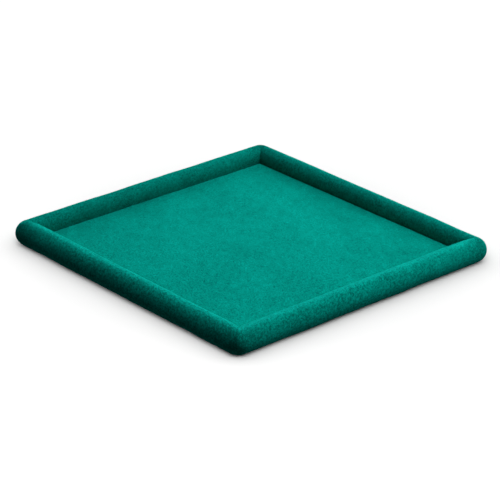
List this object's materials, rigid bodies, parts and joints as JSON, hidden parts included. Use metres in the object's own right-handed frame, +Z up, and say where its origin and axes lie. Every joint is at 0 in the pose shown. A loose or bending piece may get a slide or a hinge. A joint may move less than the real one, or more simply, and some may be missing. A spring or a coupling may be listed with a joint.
{
  "type": "dice tray",
  "caption": "Square velvet dice tray with a flat padded floor inside a round padded rim.",
  "frame": {"origin": "on the table under the centre of the tray", "axes": "+Z up, out of the tray's floor; +X and +Y along its sides"},
  "size_m": [0.3, 0.3, 0.0222],
  "materials": {
    "velvet": "short-pile teal green velvet, brushed, slightly mottled",
    "foam_rod": "grey closed-cell polyethylene foam",
    "pad_foam": "thin off-white foam sheet",
    "hardboard": "brown hardboard",
    "lining": "dark teal green needle felt"
  },
  "bodies": {
    "root": {"floor_velvet": "velvet", "rim_velvet_front": "velvet", "rim_velvet_right": "velvet", "rim_velvet_back": "velvet", "rim_velvet_left": "velvet", "rim_core_front": "foam_rod", "rim_core_right": "foam_rod", "rim_core_back": "foam_rod", "rim_core_left": "foam_rod", "floor_pad": "pad_foam", "base_board": "hardboard", "underside_lining": "lining"}
  },
  "joints": []
}
